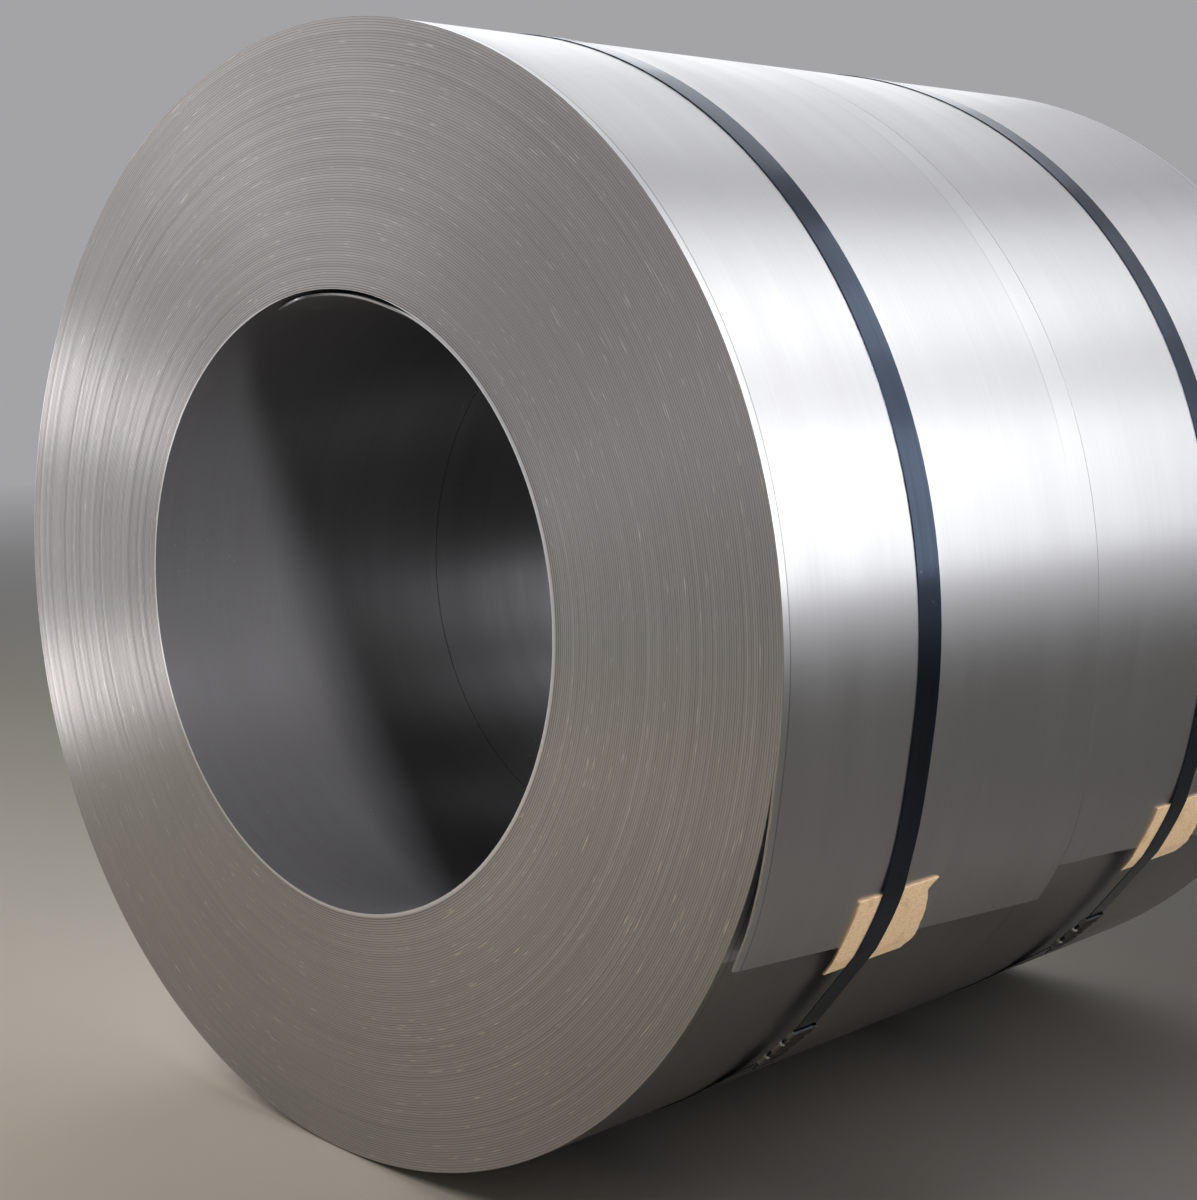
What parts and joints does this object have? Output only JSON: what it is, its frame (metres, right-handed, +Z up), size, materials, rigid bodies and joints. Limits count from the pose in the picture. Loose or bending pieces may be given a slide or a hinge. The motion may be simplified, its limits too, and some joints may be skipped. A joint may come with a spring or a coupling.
{
  "type": "steel coil",
  "caption": "Cold-rolled steel strip wound in a coil round an open bore, lying on its side, held by steel straps with crimped seals over board pads.",
  "frame": {"origin": "on the floor, under the middle of the coil's length and below the bore's axis", "axes": "+X along the bore, from the near end face to the far one; +Z up; the strip's tail is on the side towards -Y"},
  "size_m": [1, 1.1206, 1.1193],
  "materials": {
    "strip": "satin",
    "strap": "gloss",
    "seal": "satin",
    "board": "matte"
  },
  "bodies": {
    "root": {"coil": "strip", "strap_near": "strap", "strap_far": "strap", "seal_near": "seal", "seal_far": "seal", "pad_near": "board", "pad_far": "board"}
  },
  "joints": []
}
